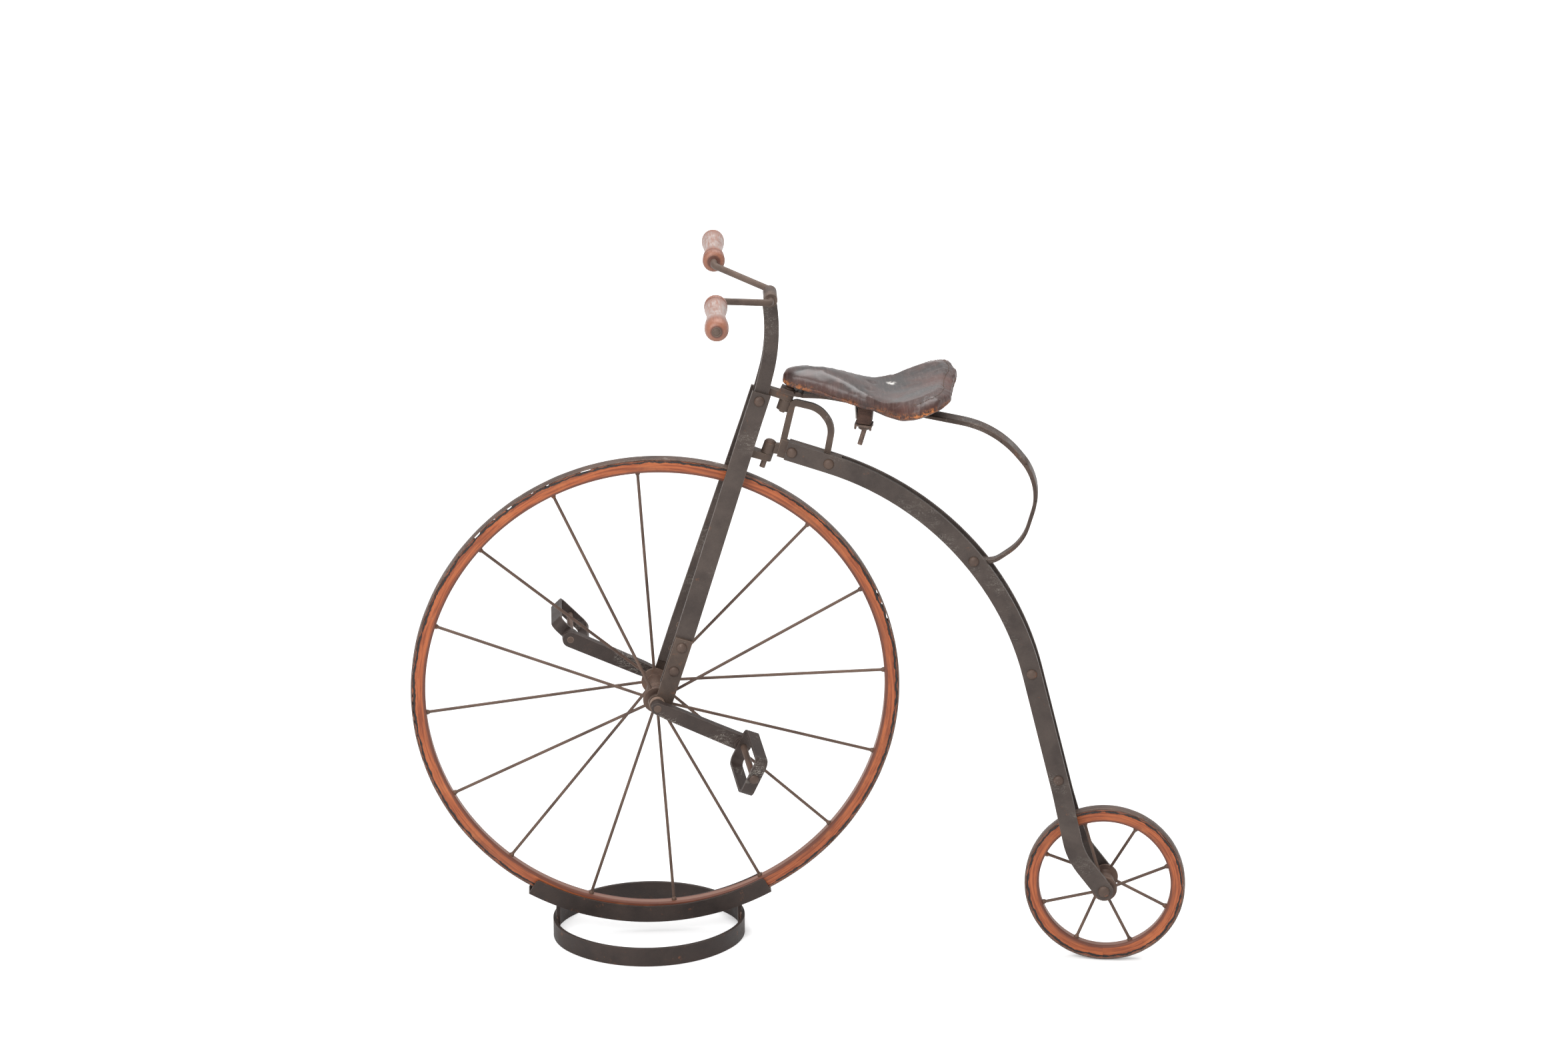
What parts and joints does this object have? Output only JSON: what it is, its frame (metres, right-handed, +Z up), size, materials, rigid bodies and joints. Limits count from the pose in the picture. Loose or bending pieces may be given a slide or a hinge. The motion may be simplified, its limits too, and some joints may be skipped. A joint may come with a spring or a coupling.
{
  "type": "high-wheel bicycle on a display stand",
  "caption": "Child's high-wheel bicycle of forged flat iron with wooden-rimmed wheels, crank pedals, leather saddle on a leaf spring, and an oval hoop stand with a trough.",
  "frame": {"origin": "on the floor, under the middle of the outline", "axes": "+X from the large front wheel to the small rear wheel, +Y to the rider's right, +Z up"},
  "size_m": [1.1989, 0.5563, 1.0817],
  "materials": {
    "tyre_iron": "thin worn iron band",
    "wheel_wood": "bent ash, worn and stained",
    "forged_iron": "forged flat iron, brown-black with light edges",
    "spoke_iron": "thin iron rod, light rust",
    "bolt_iron": "worn bolt and rivet heads",
    "grip_wood": "turned wood, dark stain worn at the ends",
    "saddle_leather": "old dark leather, worn orange at the welt",
    "stand_iron": "flat bar with pale blotches"
  },
  "bodies": {
    "stand_and_fork": {"fork_blade_left": "forged_iron", "fork_blade_right": "forged_iron", "dropout_left": "forged_iron", "dropout_right": "forged_iron", "neck_bar_left": "forged_iron", "neck_bar_right": "forged_iron", "lower_lug": "forged_iron", "upper_lug": "forged_iron", "lower_pivot_bolt": "bolt_iron", "upper_pivot_bolt": "bolt_iron", "handlebar_collar": "forged_iron", "handlebar_left": "forged_iron", "handlebar_right": "forged_iron", "grip_left": "grip_wood", "grip_right": "grip_wood", "stand_ring": "stand_iron", "stand_trough": "stand_iron", "stand_post_front": "stand_iron", "stand_post_rear": "stand_iron", "crown_rivet": "bolt_iron"},
    "front_wheel": {"front_tyre": "tyre_iron", "front_rim": "wheel_wood", "front_hub": "spoke_iron", "front_axle": "bolt_iron", "crank_left": "forged_iron", "crank_right": "forged_iron", "pedal_pin_left": "bolt_iron", "pedal_pin_right": "bolt_iron"},
    "left_pedal": {"pedal_left": "forged_iron"},
    "right_pedal": {"pedal_right": "forged_iron"},
    "rear_frame": {"head_bracket": "forged_iron", "backbone_left": "forged_iron", "backbone_right": "forged_iron", "spring_rivet": "bolt_iron", "middle_rivet": "bolt_iron", "lower_rivet": "bolt_iron", "bracket_bolt_front": "bolt_iron", "bracket_bolt_rear": "bolt_iron", "saddle_spring": "forged_iron", "saddle": "saddle_leather", "rear_axle": "bolt_iron", "saddle_clamp": "forged_iron"},
    "rear_wheel": {"rear_tyre": "tyre_iron", "rear_rim": "wheel_wood", "rear_hub": "spoke_iron"}
  },
  "joints": [
    {"name": "front_wheel_spin", "type": "hinge", "parent": "stand_and_fork", "child": "front_wheel", "pos_m": [-0.21849, 0, 0.412], "axis": [0, 1, 0], "continuous": true},
    {"name": "left_pedal_spin", "type": "hinge", "parent": "front_wheel", "child": "left_pedal", "pos_m": [-0.08729, -0.082, 0.35026], "axis": [-0.1045, 0.9835, 0.1478], "continuous": true},
    {"name": "right_pedal_spin", "type": "hinge", "parent": "front_wheel", "child": "right_pedal", "pos_m": [-0.34969, 0.082, 0.47374], "axis": [0, 1, 0], "continuous": true},
    {"name": "steering", "type": "hinge", "parent": "stand_and_fork", "child": "rear_frame", "pos_m": [-0.04208, 0, 0.8032], "axis": [0.3256, 0, 0.9455], "range_deg": [-34.1, 55.9]},
    {"name": "rear_wheel_spin", "type": "hinge", "parent": "rear_frame", "child": "rear_wheel", "pos_m": [0.47489, -0.13663, 0.12532], "axis": [0.1788, 0.982, -0.0616], "continuous": true}
  ]
}
